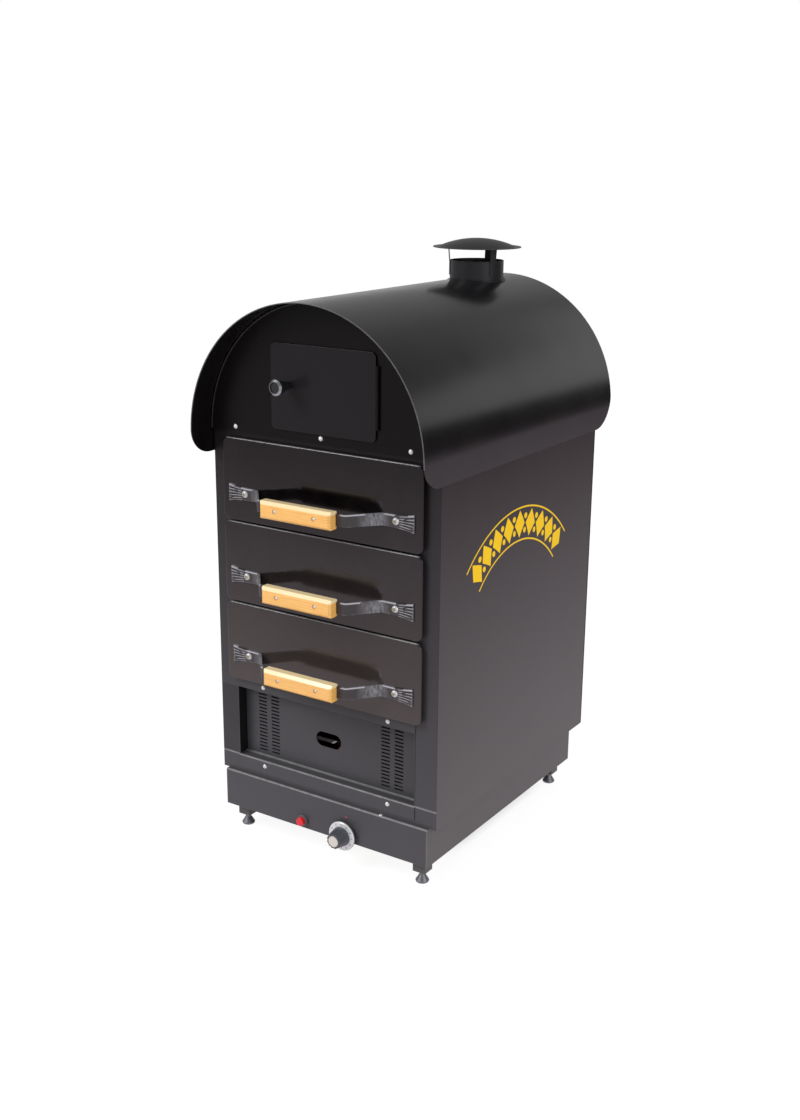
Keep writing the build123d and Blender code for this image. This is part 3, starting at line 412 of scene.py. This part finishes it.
# %% Painted arch
signal_yellow = rgb(255, 206, 0)
arch_y, arch_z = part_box("front_frame")[0].y + 0.2527, 0.372
arch_in, arch_out = 0.1756, 0.2353
arch_middle = (arch_in + arch_out) / 2
arch_from, arch_to = math.radians(41), math.radians(137)
lozenge_count = 9
arch_step = (arch_to - arch_from) / lozenge_count
arch_line = 0.0028
stencil_soft = 0.0008
lozenge_half_w, lozenge_half_h, lozenge_soft = 0.0172, 0.0238, 0.06
dot_r, dot_rise = 0.005, 0.0125
end_gap, dots_end_gap, end_soft = 0.004, 0.03, 0.004  # angles


def painted_arch(x, y, z):
    """The mask of the painted arch."""
    across, up = y - arch_y, z - arch_z
    radius = off_axis(across, up)
    angle = up.maths("ARCTAN2", across)
    rise = (radius - arch_middle).size()
    turn = ((angle - arch_from).maths("MODULO", arch_step) - arch_step / 2).size() * arch_middle
    slant = turn * (1 / lozenge_half_w) + rise * (1 / lozenge_half_h)
    lozenge = 1 - slant.over(1.0, lozenge_soft)
    beside = (angle - (arch_from + arch_step / 2)).maths("MODULO", arch_step)
    offset = (beside - arch_step / 2) * arch_middle
    dot = 1 - off_axis(offset, rise - dot_rise).over(dot_r, stencil_soft)
    inner_line = between(radius, arch_in, arch_in + arch_line, stencil_soft)
    outer_line = between(radius, arch_out - arch_line, arch_out, stencil_soft)
    sweep = between(angle, arch_from + end_gap, arch_to - end_gap, end_soft)
    dots_sweep = between(angle, arch_from + dots_end_gap, arch_to - dots_end_gap, end_soft)
    drawn = lozenge.most(dot * dots_sweep).most(inner_line.most(outer_line))
    return (drawn * sweep * x.over(0.0, 0.01)).clamp()


print("arch of", lozenge_count, "lozenges, radius", round(arch_middle, 4))

# %% [markdown]
# The same enamel is not quite the same black everywhere. The sides and the base are painted
# paler towards the floor as painted light, the hood is wiped and shinier, and the drawer fronts
# are polished by hands, with a stronger painted light towards the floor. One function with a
# few settings keeps them one family, and each has its own seed so that no two sheets have the
# same clouds.

# %% Dress the casing
# the paler colour is painted light on the lower sides and base
side_look = {"black": rgb(30, 21, 25), "painted_paler": rgb(92, 90, 91), "gloss": 0.36, "shine": 0.2}
side_black = enamel("side_black", **side_look)
right_black = enamel("right_black", **side_look, seed=2.3, painted=(painted_arch, signal_yellow))
frame_black = enamel(
    "frame_black", rgb(28, 24, 27), rgb(77, 76, 80), gloss=0.34, shine=0.22, seed=1.7,
    edge_highlight=base_rims, painted=(index_dot, rgb(232, 60, 62)), painted_shade=recess_cheek,
)
hood_ink, flue_ink = rgb(17, 15, 17), rgb(36, 36, 39)
fascia_ink, door_ink = rgb(17, 14, 15), rgb(30, 28, 30)
hood_black = enamel(
    "hood_black", hood_ink, hood_ink, gloss=0.2, shine=0.42, seed=3.1, edge_highlight=hood_rim
)
flue_black = enamel("flue_black", flue_ink, flue_ink, gloss=0.36, shine=0.2, seed=4.4)
fascia_black = enamel(
    "fascia_black", fascia_ink, fascia_ink, gloss=0.3, shine=0.12, seed=5.2, edge_highlight=fascia_rim
)
door_black = enamel("door_black", door_ink, door_ink, gloss=0.26, shine=0.16, seed=9.4)
# painted light: the drawer fronts are painted paler towards the floor
front_black = enamel(
    "front_black", rgb(6, 4, 5), rgb(90, 80, 78), gloss=0.13, shine=0.42, seed=7.3,
    fall=1.6, edge_highlight=drawer_rim,
)
dress(side_black, "side_panel_left", "back_panel", "plinth_skirt", "corner_legs")
dress(right_black, "side_panel_right")
dress(frame_black, "front_frame", "plinth_front", "burner_cover")
dress(hood_black, "hood")
dress(flue_black, "flue_stub", "flue_cowl", "cowl_straps")
dress(fascia_black, "fascia", "door_hinge_fixed", "top_door_hinge_leaf")
dress(door_black, "top_door_panel", "top_door_inner")
for name in drawers:
    dress(front_black, f"drawer_{name}_front")
print("black enamel on the casing")

# %% [markdown]
# ## Bare and plated metals
# Inside, the oven is stainless and galvanised sheet, and what is near the flame is sooty.
# Brushed sheet shows fine lines all one way, so noise is drawn long along one axis. The small
# screws and levelling feet are zinc plated, a little cloudy.


# %% Sheet metals
def brushed(name, dark, light, gloss, grain=(1, 60, 60), metal=1.0):
    """Metal with fine lines. Grain scales the noise, so the lines run where it is small."""
    net = Net(name)
    spot = place(net)[0]
    lines = cloud(net, stretched(net, spot, grain), 0.02, 4, 0.6)
    stain = cloud(net, spot, 0.05, 3, 0.55)
    return close(
        net,
        Base_Color=blend(net, lines * 0.6 + stain * 0.4, dark, light),
        Metallic=metal,
        Roughness=(gloss + sway(lines, 0.18) + sway(stain, 0.12)).clamp(),
        Normal=bump(net, lines * 0.00004, 0.6),
    )


coarse, fine = (3, 3, 3), (4, 4, 4)  # grains that run no way in particular
stainless = brushed("stainless_sheet", rgb(150, 150, 150), rgb(196, 196, 194), 0.32)
galvanised = brushed(
    "galvanised_sheet", rgb(138, 141, 144), rgb(176, 180, 184), 0.42, grain=(2, 3, 3)
)
zinc = brushed("bright_zinc", rgb(206, 208, 214), rgb(236, 236, 230), 0.5, grain=fine, metal=0.55)
dark_steel = brushed("dark_steel", rgb(92, 94, 97), rgb(140, 142, 146), 0.42, grain=fine, metal=0.7)
scorched = brushed(
    "scorched_steel", rgb(30, 26, 25), rgb(52, 44, 40), 0.6, grain=(6, 1, 6), metal=0.5
)
sooty = brushed("sooty_steel", rgb(44, 42, 41), rgb(74, 71, 68), 0.5)
copper = brushed("sooty_copper", rgb(70, 34, 22), rgb(116, 60, 40), 0.6, grain=coarse, metal=0.4)
brass = brushed("turned_brass", rgb(168, 132, 70), rgb(206, 170, 100), 0.3, grain=coarse)
print("sheet metals ready")

# %% [markdown]
# The bolts that hold the handles are zinc plated, with a dull yellowish middle where the
# plating is thin. Every bolt lies at the same distance from the oven's middle, so the sign of
# X is dropped and the height is folded, and one mask finds all six.

# %% Drawer bolts
bolt_x = 0.1505
bolt_middle_r, bolt_rim_r = 0.0026, 0.0032


def bolt_zinc():
    """Zinc bolts whose domed heads have a dull yellowish middle."""
    net = Net("bolt_zinc")
    spot, x, _, z = place(net)
    radius = off_axis(x.size() - bolt_x, drawer_step(z, handle_height))
    middle = 1 - radius.over(bolt_middle_r, 0.0012)
    rim = near(radius, bolt_rim_r, 0.0007)
    smudge = cloud(net, spot, 0.004, 3, 0.6)
    bright = blend(net, smudge, rgb(196, 198, 204), rgb(232, 232, 228))
    return close(
        net,
        Base_Color=blend(net, middle.most(rim * 0.6), bright, rgb(138, 132, 106)),
        Metallic=0.5,
        Roughness=(0.4 + sway(smudge, 0.2)).clamp(),
        Normal=bump(net, middle * -0.0004, 0.8),
    )


bolt_finish = bolt_zinc()
dress(sooty, "oven_liner", "base_plate", "heat_baffle")
dress(galvanised, "chamber_floor", "drawer_runners", "door_catch")
dress(zinc, "panel_screws")
dress(dark_steel, "foot_front_left", "foot_front_right", "foot_rear_left", "foot_rear_right")
dress(scorched, "burner")
dress(copper, "burner_feed_pipe", "gas_pipe")
dress(brass, "gas_inlet", "thermostat_valve")
for name in drawers:
    dress(stainless, f"drawer_{name}_tray", f"drawer_{name}_rack")
    dress(bolt_finish, f"drawer_{name}_screws")
print("metals dressed")

# %% [markdown]
# ## Plastics, wool and ceramic
# The controls are moulded: a grey fluted knob, and a red push button in a dark grey bezel.
# Moulded plastic is smooth with a faint grain from the tool, and a colour alone would look
# like paint on glass. The wool and the electrode are hidden, and show only when the oven is
# taken apart.


# %% Moulded and soft pieces
def moulded(name, colour, shade, gloss, grain=0.0006, height=0.00001):
    """Plastic and the like, with a grain of the given size and height in metres."""
    net = Net(name)
    spot = place(net)[0]
    fine = cloud(net, spot, grain, 2, 0.5)
    broad = cloud(net, spot, 0.02, 2, 0.5)
    return close(
        net,
        Base_Color=blend(net, broad, colour, shade),
        Roughness=(gloss + sway(broad, 0.1)).clamp(),
        Normal=bump(net, fine * height, 0.5),
    )


button_red = moulded("button_red", rgb(236, 40, 50), rgb(214, 24, 34), 0.25)
bezel_grey = moulded("bezel_grey", rgb(92, 95, 100), rgb(70, 72, 77), 0.4)
knob_grey = moulded("knob_grey", rgb(86, 90, 96), rgb(62, 65, 71), 0.34)
ceramic_white = moulded("ceramic_white", rgb(226, 224, 216), rgb(208, 204, 194), 0.25)
wool = moulded(
    "mineral_wool", rgb(176, 158, 104), rgb(132, 116, 72), 0.95, grain=0.002, height=0.0008
)
print("plastics ready")

# %% [markdown]
# The door's knob is turned from black plastic, with a bright ring let into its dished end.
# The ring is flush, so it could be a separate mesh or a mask. A mask by the distance from the
# knob's axis cannot leave a gap.

# %% The door's ringed knob
ring_in, ring_out, ring_soft = 0.0094, 0.0132, 0.0006
ring_depth = 0.0026  # of the knob's front part that carries the ring


def ringed_knob():
    """A black turned knob with a bright ring round its dished end."""
    net = Net("ringed_knob")
    spot, x, y, z = place(net)
    low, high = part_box("top_door_knob")
    middle = (low + high) / 2
    radius = off_axis(x - middle.x, z - middle.z)
    front = 1 - y.over(low.y + ring_depth, ring_soft)
    ring = between(radius, ring_in, ring_out, ring_soft) * front
    smudge = cloud(net, spot, 0.005, 3, 0.6)
    return close(
        net,
        Base_Color=blend(net, ring, rgb(30, 30, 33), rgb(150, 152, 158)),
        Metallic=ring * 0.9,
        Roughness=(0.24 + sway(smudge, 0.16)).clamp(),
        Specular_IOR_Level=0.5,
        Normal=bump(net, smudge * 0.00002, 0.5),
    )


dress(button_red, "igniter_button")
dress(bezel_grey, "igniter_housing")
dress(knob_grey, "thermostat_knob")
dress(ringed_knob(), "top_door_knob")
dress(ceramic_white, "igniter_electrode")
dress(wool, "insulation_slabs")
print("plastics dressed")

# %% [markdown]
# ## Worn handle straps
# Each strap is a black bar, bent out to the grip and cut like a fish tail at its ends. Hands
# and cloths have rubbed the paint off its upper and lower edges, so bright steel shows there
# in a broken line. The wear follows the distance from the strap's middle height. All three
# straps share the finish, because folding the height by the drawer pitch puts them in step.

# %% Worn black paint
strap_half_h = 0.010
strap_half = 0.184  # from the middle of the oven to the strap's tip
strap_bend_x = 0.119
tail_flare = 0.13  # how fast the tail widens past the bolt
fan_back, fan_reach = 0.06, 0.0936  # from where the tail's lines meet, to the bolt and the tip
tine_gap = 0.0052  # between the lines, at the tip
top_wear_h, foot_wear_h = 0.0022, 0.0008


def worn_strap():
    """Black paint, rubbed to the steel along the strap's edges and tail."""
    net = Net("worn_strap")
    spot, x, _, z = place(net)
    folded = drawer_step(z, handle_height)
    along = x.size()
    past_bolt = (along - bolt_x).most(0.0)
    edge_height = strap_half_h + past_bolt * tail_flare
    from_top = (edge_height - folded).size()
    from_foot = (edge_height + folded).size()
    # long rubbed stretches with gaps between them, along the upper edge
    drift = cloud(net, stretched(net, spot, (1, 0.2, 6)), 0.05, 2, 0.5)
    stretch = (x + drift * 0.03).wave(0.047).over(0.36, 0.2)
    chips = cloud(net, spot, 0.004, 4, 0.65)
    broken = (stretch * 0.8 + chips * 0.4).over(0.62, 0.3)
    rubbed_top = (1 - from_top.over(top_wear_h, 0.001)) * broken
    rubbed_foot = (1 - from_foot.over(foot_wear_h, 0.0006)) * (chips * 0.8).over(0.45, 0.2) * 0.35
    # fine lines down the forged fish tail, spreading from the bolt
    ray = (folded * fan_reach).maths("DIVIDE", past_bolt + fan_back) * (1 / tine_gap)
    tines = ray.wave(1.0).over(0.8, 0.3) * past_bolt.over(0.007, 0.004)
    tip = along.over(strap_half - 0.0012, 0.0012) * 0.3
    # upright brushing and a scuffed patch where the bar bends
    brushed_face = cloud(net, stretched(net, spot, (9, 9, 1)), 0.012, 4, 0.7)
    bend = 1 - (along - strap_bend_x).size().over(0.012, 0.018)
    scrapes = cloud(net, stretched(net, spot, (3, 3, 1)), 0.01, 5, 0.7).over(0.47, 0.3)
    scuffed = bend * scrapes * 0.5
    wear = rubbed_top.most(rubbed_foot).most(tines * 0.75).most(tip).most(scuffed)
    grain = cloud(net, spot, 0.001, 3, 0.6)
    face = blend(net, brushed_face, rgb(38, 35, 37), rgb(62, 58, 60))
    return close(
        net,
        Base_Color=blend(net, wear, face, rgb(186, 188, 194)),
        Metallic=wear * 0.8,
        Roughness=(0.42 - wear * 0.08 + sway(grain, 0.16) + sway(brushed_face, 0.12)).clamp(),
        Normal=bump(net, grain * 0.00004 - wear * 0.00006 + brushed_face * 0.00008, 0.6),
    )


strap_finish = worn_strap()
for name in drawers:
    dress(strap_finish, f"drawer_{name}_handle")
print("straps dressed")

# %% [markdown]
# ## Varnished wooden grips
# The grips are a pale hardwood under an orange varnish. Grain runs along the bar: rings of a
# tree cut lengthways are long lines, so a wave is stretched along X and bent a little by
# noise. The varnish sits on top as a clear coat.

# %% Varnished wood
grip_low, grip_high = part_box("drawer_top_grip")
grip_half_height = (grip_high.z - grip_low.z) / 2
bevel_h = 0.0052  # of the top bevel that gets a painted highlight
wood_tones = [
    (0.05, rgb(230, 158, 72)),
    (0.45, rgb(243, 182, 96)),
    (0.75, rgb(249, 196, 110)),
    (0.95, rgb(252, 208, 128)),
]


def varnished_wood():
    """Pale wood with long rings and pores, under a clear coat."""
    net = Net("varnished_wood")
    spot, _, _, z = place(net)
    drift = cloud(net, stretched(net, spot, (3, 12, 12)), 0.09, 3, 0.5)
    rings = net.node(
        "ShaderNodeTexWave",
        {"wave_type": "BANDS", "bands_direction": "Z", "wave_profile": "SIN"},
        output=1,
        Vector=stretched(net, spot, (0.12, 1, 1)),
        Scale=75.0,
        Distortion=7.0,
        Detail=3.0,
        Detail_Scale=1.2,
    )
    pores = cloud(net, stretched(net, spot, (4, 90, 90)), 0.03, 4, 0.7)
    figure = (rings * 0.3 + drift * 0.45 + pores * 0.25).clamp()
    colour = net.node("ShaderNodeValToRGB", {"stops": wood_tones}, Fac=figure)
    folded = drawer_step(z, handle_height)
    # painted highlight: the top bevel, where the light falls, is painted pale
    painted_bevel_highlight = folded.over(grip_half_height - bevel_h, 0.0016) * 0.85
    return close(
        net,
        Base_Color=blend(net, painted_bevel_highlight, colour, rgb(255, 234, 186)),
        Roughness=(0.3 + sway(pores, 0.15)).clamp(),
        Coat_Weight=0.6,
        Coat_Roughness=0.12,
        Normal=bump(net, pores * 0.00006, 0.5),
    )


wood_finish = varnished_wood()
for name in drawers:
    dress(wood_finish, f"drawer_{name}_grip")
print("grips dressed")

# %% [markdown]
# ## The dial and its cap
# The dial is a satin silver disc printed with dark marks, with a dark line of painted shade
# round its edge, and the knob's end carries a small turned metal cap. Turned metal has rings
# round its axis, so its pattern reads the distance from that axis.

# %% Dial and cap finishes
dial_low, dial_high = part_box("thermostat_dial")
dial_centre = (dial_low + dial_high) / 2
dial_r = dial_high.x - dial_centre.x
tick_step = math.radians(30)
tick_in, tick_out, tick_half = 0.0198, 0.0236, 0.0006
rim_shade_w = 0.0006  # of the painted shade line round the dial's edge


def turned(name, dark, light, gloss, metal, ticked=False):
    """Turned metal with rings round the dial's axis, with tick marks and a painted shade line round
    the edge if ticked.
    """
    net = Net(name)
    spot, x, y, z = place(net)
    dx, dz = x - dial_centre.x, z - dial_centre.z
    radius = off_axis(dx, dz)
    round_axis = net.node("ShaderNodeCombineXYZ", X=radius, Y=y * 0.2, Z=0.0)
    rings = cloud(net, round_axis, 0.0007, 3, 0.6)
    smudge = cloud(net, spot, 0.012, 3, 0.5)
    colour = blend(net, rings * 0.5 + smudge * 0.5, dark, light)
    if ticked:
        from_first = dx.maths("ARCTAN2", dz) + (math.pi + tick_step / 2)
        turn = from_first.maths("MODULO", tick_step) - tick_step / 2
        stroke = 1 - (turn * radius).size().over(tick_half, 0.0003)
        tick = stroke * between(radius, tick_in, tick_out, 0.0004)
        # painted shade: a dark line round the dial's edge
        painted_rim_shade = radius.over(dial_r - rim_shade_w, 0.0004)
        colour = blend(net, (tick * 0.85).most(painted_rim_shade * 0.6), colour, rgb(44, 46, 50))
    return close(
        net,
        Base_Color=colour,
        Metallic=metal,
        Roughness=(gloss + sway(smudge, 0.15)).clamp(),
        Normal=bump(net, rings * 0.00002, 0.6),
    )


dial_silver = turned("dial_silver", rgb(206, 208, 211), rgb(240, 241, 243), 0.34, 0.3, ticked=True)
cap_silver = turned("cap_silver", rgb(206, 203, 194), rgb(232, 229, 220), 0.36, 0.6)
dress(dial_silver, "thermostat_dial")
dress(cap_silver, "thermostat_cap")
print("dial centre", tuple(round(c, 4) for c in dial_centre))

# %% [markdown]
# ## Floor, background and lamps
# The oven stands on a plain pale floor. Paper alone would come out grey beside the white
# background, so most of what the camera sees of it is a glow, and the rest takes the oven's
# shadow. Under the oven the glow is put out, as no light would reach there. To mirrors the
# floor is a little purple and darkens with distance.

# %% Floor
floor_r = 4.6
floor_glow_share, floor_brightness = 0.78, 1.17
shade_half, shade_y, shade_soft = 0.15, 0.04, 0.08  # the shade under the oven
bpy.ops.mesh.primitive_circle_add(
    vertices=128, radius=floor_r, fill_type="NGON", location=(0, 0, 0)
)
floor = bpy.context.object
floor.name = "floor"
floor_net = Net("floor_white")
seen = floor_net.node("ShaderNodeLightPath")
mirror_ray = seen.sibling("Is Glossy Ray")
direct = seen.sibling("Is Camera Ray").most(mirror_ray).most(seen.sibling("Is Transmission Ray"))
floor_spot, floor_x, floor_y, _ = place(floor_net)
floor_speck = cloud(floor_net, floor_spot, 0.4, 2, 0.5)
floor_tone = blend(floor_net, floor_speck, (0.86, 0.86, 0.86, 1), (0.9, 0.9, 0.9, 1))
floor_paper = floor_net.node("ShaderNodeBsdfDiffuse", Color=floor_tone)
within_x = 1 - floor_x.size().over(shade_half, shade_soft)
within_y = 1 - (floor_y - shade_y).size().over(shade_half, shade_soft)
# the shade on the floor behind the oven that shows only through its low slots
eye = floor_net.node("ShaderNodeNewGeometry").sibling("Incoming")
from_right = floor_net.node("ShaderNodeSeparateXYZ", Vector=eye).sibling("X").over(0.3, 0.1)
behind = between(floor_x, -0.34, -0.12, 0.04) * between(floor_y, 0.02, 0.24, 0.05)
under_oven = (within_x * within_y).most(behind * from_right)
floor_far = off_axis(floor_x, floor_y).over(2.5, 3.0)
mirrored_floor = blend(floor_net, floor_far, (0.9, 0.77, 0.84, 1), (0.4, 0.32, 0.37, 1))
lit_floor = blend(floor_net, mirror_ray, (1, 1, 1, 1), mirrored_floor)
shaded_floor = blend(floor_net, under_oven * 0.92, lit_floor, (0, 0, 0, 1))
floor_glow = floor_net.node("ShaderNodeEmission", Color=shaded_floor, Strength=floor_brightness)
floor_mix = floor_net.node(
    "ShaderNodeMixShader", i0=direct * floor_glow_share, i1=floor_paper, i2=floor_glow
)
floor.data.materials.append(floor_net.output("ShaderNodeOutputMaterial", floor_mix))
print("floor laid, radius", floor_r)

# %% [markdown]
# The world is white to the camera and a calm grey as a lamp. What shines sees a room instead:
# a dark wall low behind, a lit band over it and a dim ceiling. Those tones draw the light and
# dark bands along the hood, which a plain white world would fill in. A picture of a room could
# do the same, but steps in the ray's direction are easy to move.

# %% World
lamp_grey = 0.5
ceiling_middle, ceiling_fall, ceiling_dim, ceiling_bright = 0.34, 0.3, 0.19, 0.4
left_glow = 0.2
band_light, band_left = 0.9, 0.05
band_top, band_tilt = 0.518, 0.43  # the band's upper edge falls to the right
wall_near, wall_dark = 0.2, 0.95
wall_top, wall_tilt = -0.24, 0.6  # the wall's upper edge rises to the right
world = bpy.data.worlds.new("studio")
bpy.context.scene.world = world
world.use_nodes = True
sky = Net("studio_world", world.node_tree)
rays = sky.node("ShaderNodeLightPath")
glossy_ray = rays.sibling("Is Glossy Ray")
seen_white = rays.sibling("Is Camera Ray").most(rays.sibling("Is Transmission Ray"))
split_ray = sky.node("ShaderNodeSeparateXYZ", Vector=sky.node("ShaderNodeTexCoord"))
ray_x, ray_y, ray_z = split_ray.sibling("X"), split_ray.sibling("Y"), split_ray.sibling("Z")
ceiling = (ceiling_middle - ray_x * ceiling_fall).most(ceiling_dim)
ceiling = ceiling.maths("MINIMUM", ceiling_bright)
low_left = (1 - ray_x.over(-0.3, 0.3)) * (1 - ray_z.over(0.16, 0.14))
ceiling = ceiling + left_glow * low_left
band = ray_x.over(band_left, 0.2) * (1 - (ray_z + ray_x * band_tilt).over(band_top, 0.06))
over_wall = (ray_z - ray_x * wall_tilt).over(wall_top, 0.07)
wall = ray_y.over(wall_near, 0.4) * (1 - over_wall)
room = (ceiling + (band_light - ceiling) * band) * (1 - wall * wall_dark)
ambient = lamp_grey * (1 - seen_white.most(glossy_ray))
light = seen_white + glossy_ray * room + ambient
backdrop = sky.node("ShaderNodeBackground", Color=(1, 1, 1, 1), Strength=light)
sky.output("ShaderNodeOutputWorld", backdrop)
print("world: white to the camera, a room to mirrors,", lamp_grey, "as a lamp")

# %% [markdown]
# Two wide lamps do the rest: a big one high at the front left, and a weaker fill at the right
# that keeps the broad side from going black. Their size makes the shadows soft. A point or a
# sun would draw hard edges on the floor.


# %% Lamps
def softbox(name, place_at, aim, size, power):
    """A square lamp that looks at a point."""
    bpy.ops.object.light_add(type="AREA", location=place_at)
    lamp = bpy.context.object
    lamp.name = name
    lamp.rotation_euler = (Vector(aim) - Vector(place_at)).to_track_quat("-Z", "Y").to_euler()
    lamp.data.shape = "SQUARE"
    lamp.data.size = size
    lamp.data.energy = power


oven_middle = (0, 0, 0.5)
softbox("key", (-1.6, -2.4, 2.6), oven_middle, 1.6, 70)
softbox("fill", (2.8, -0.6, 1.7), oven_middle, 1.8, 30)
print("lamps: key, fill")

# %% [markdown]
# ## The end
# The dressed oven must stay in the solids' box.

# %% Finish
bpy.ops.object.select_all(action="DESELECT")
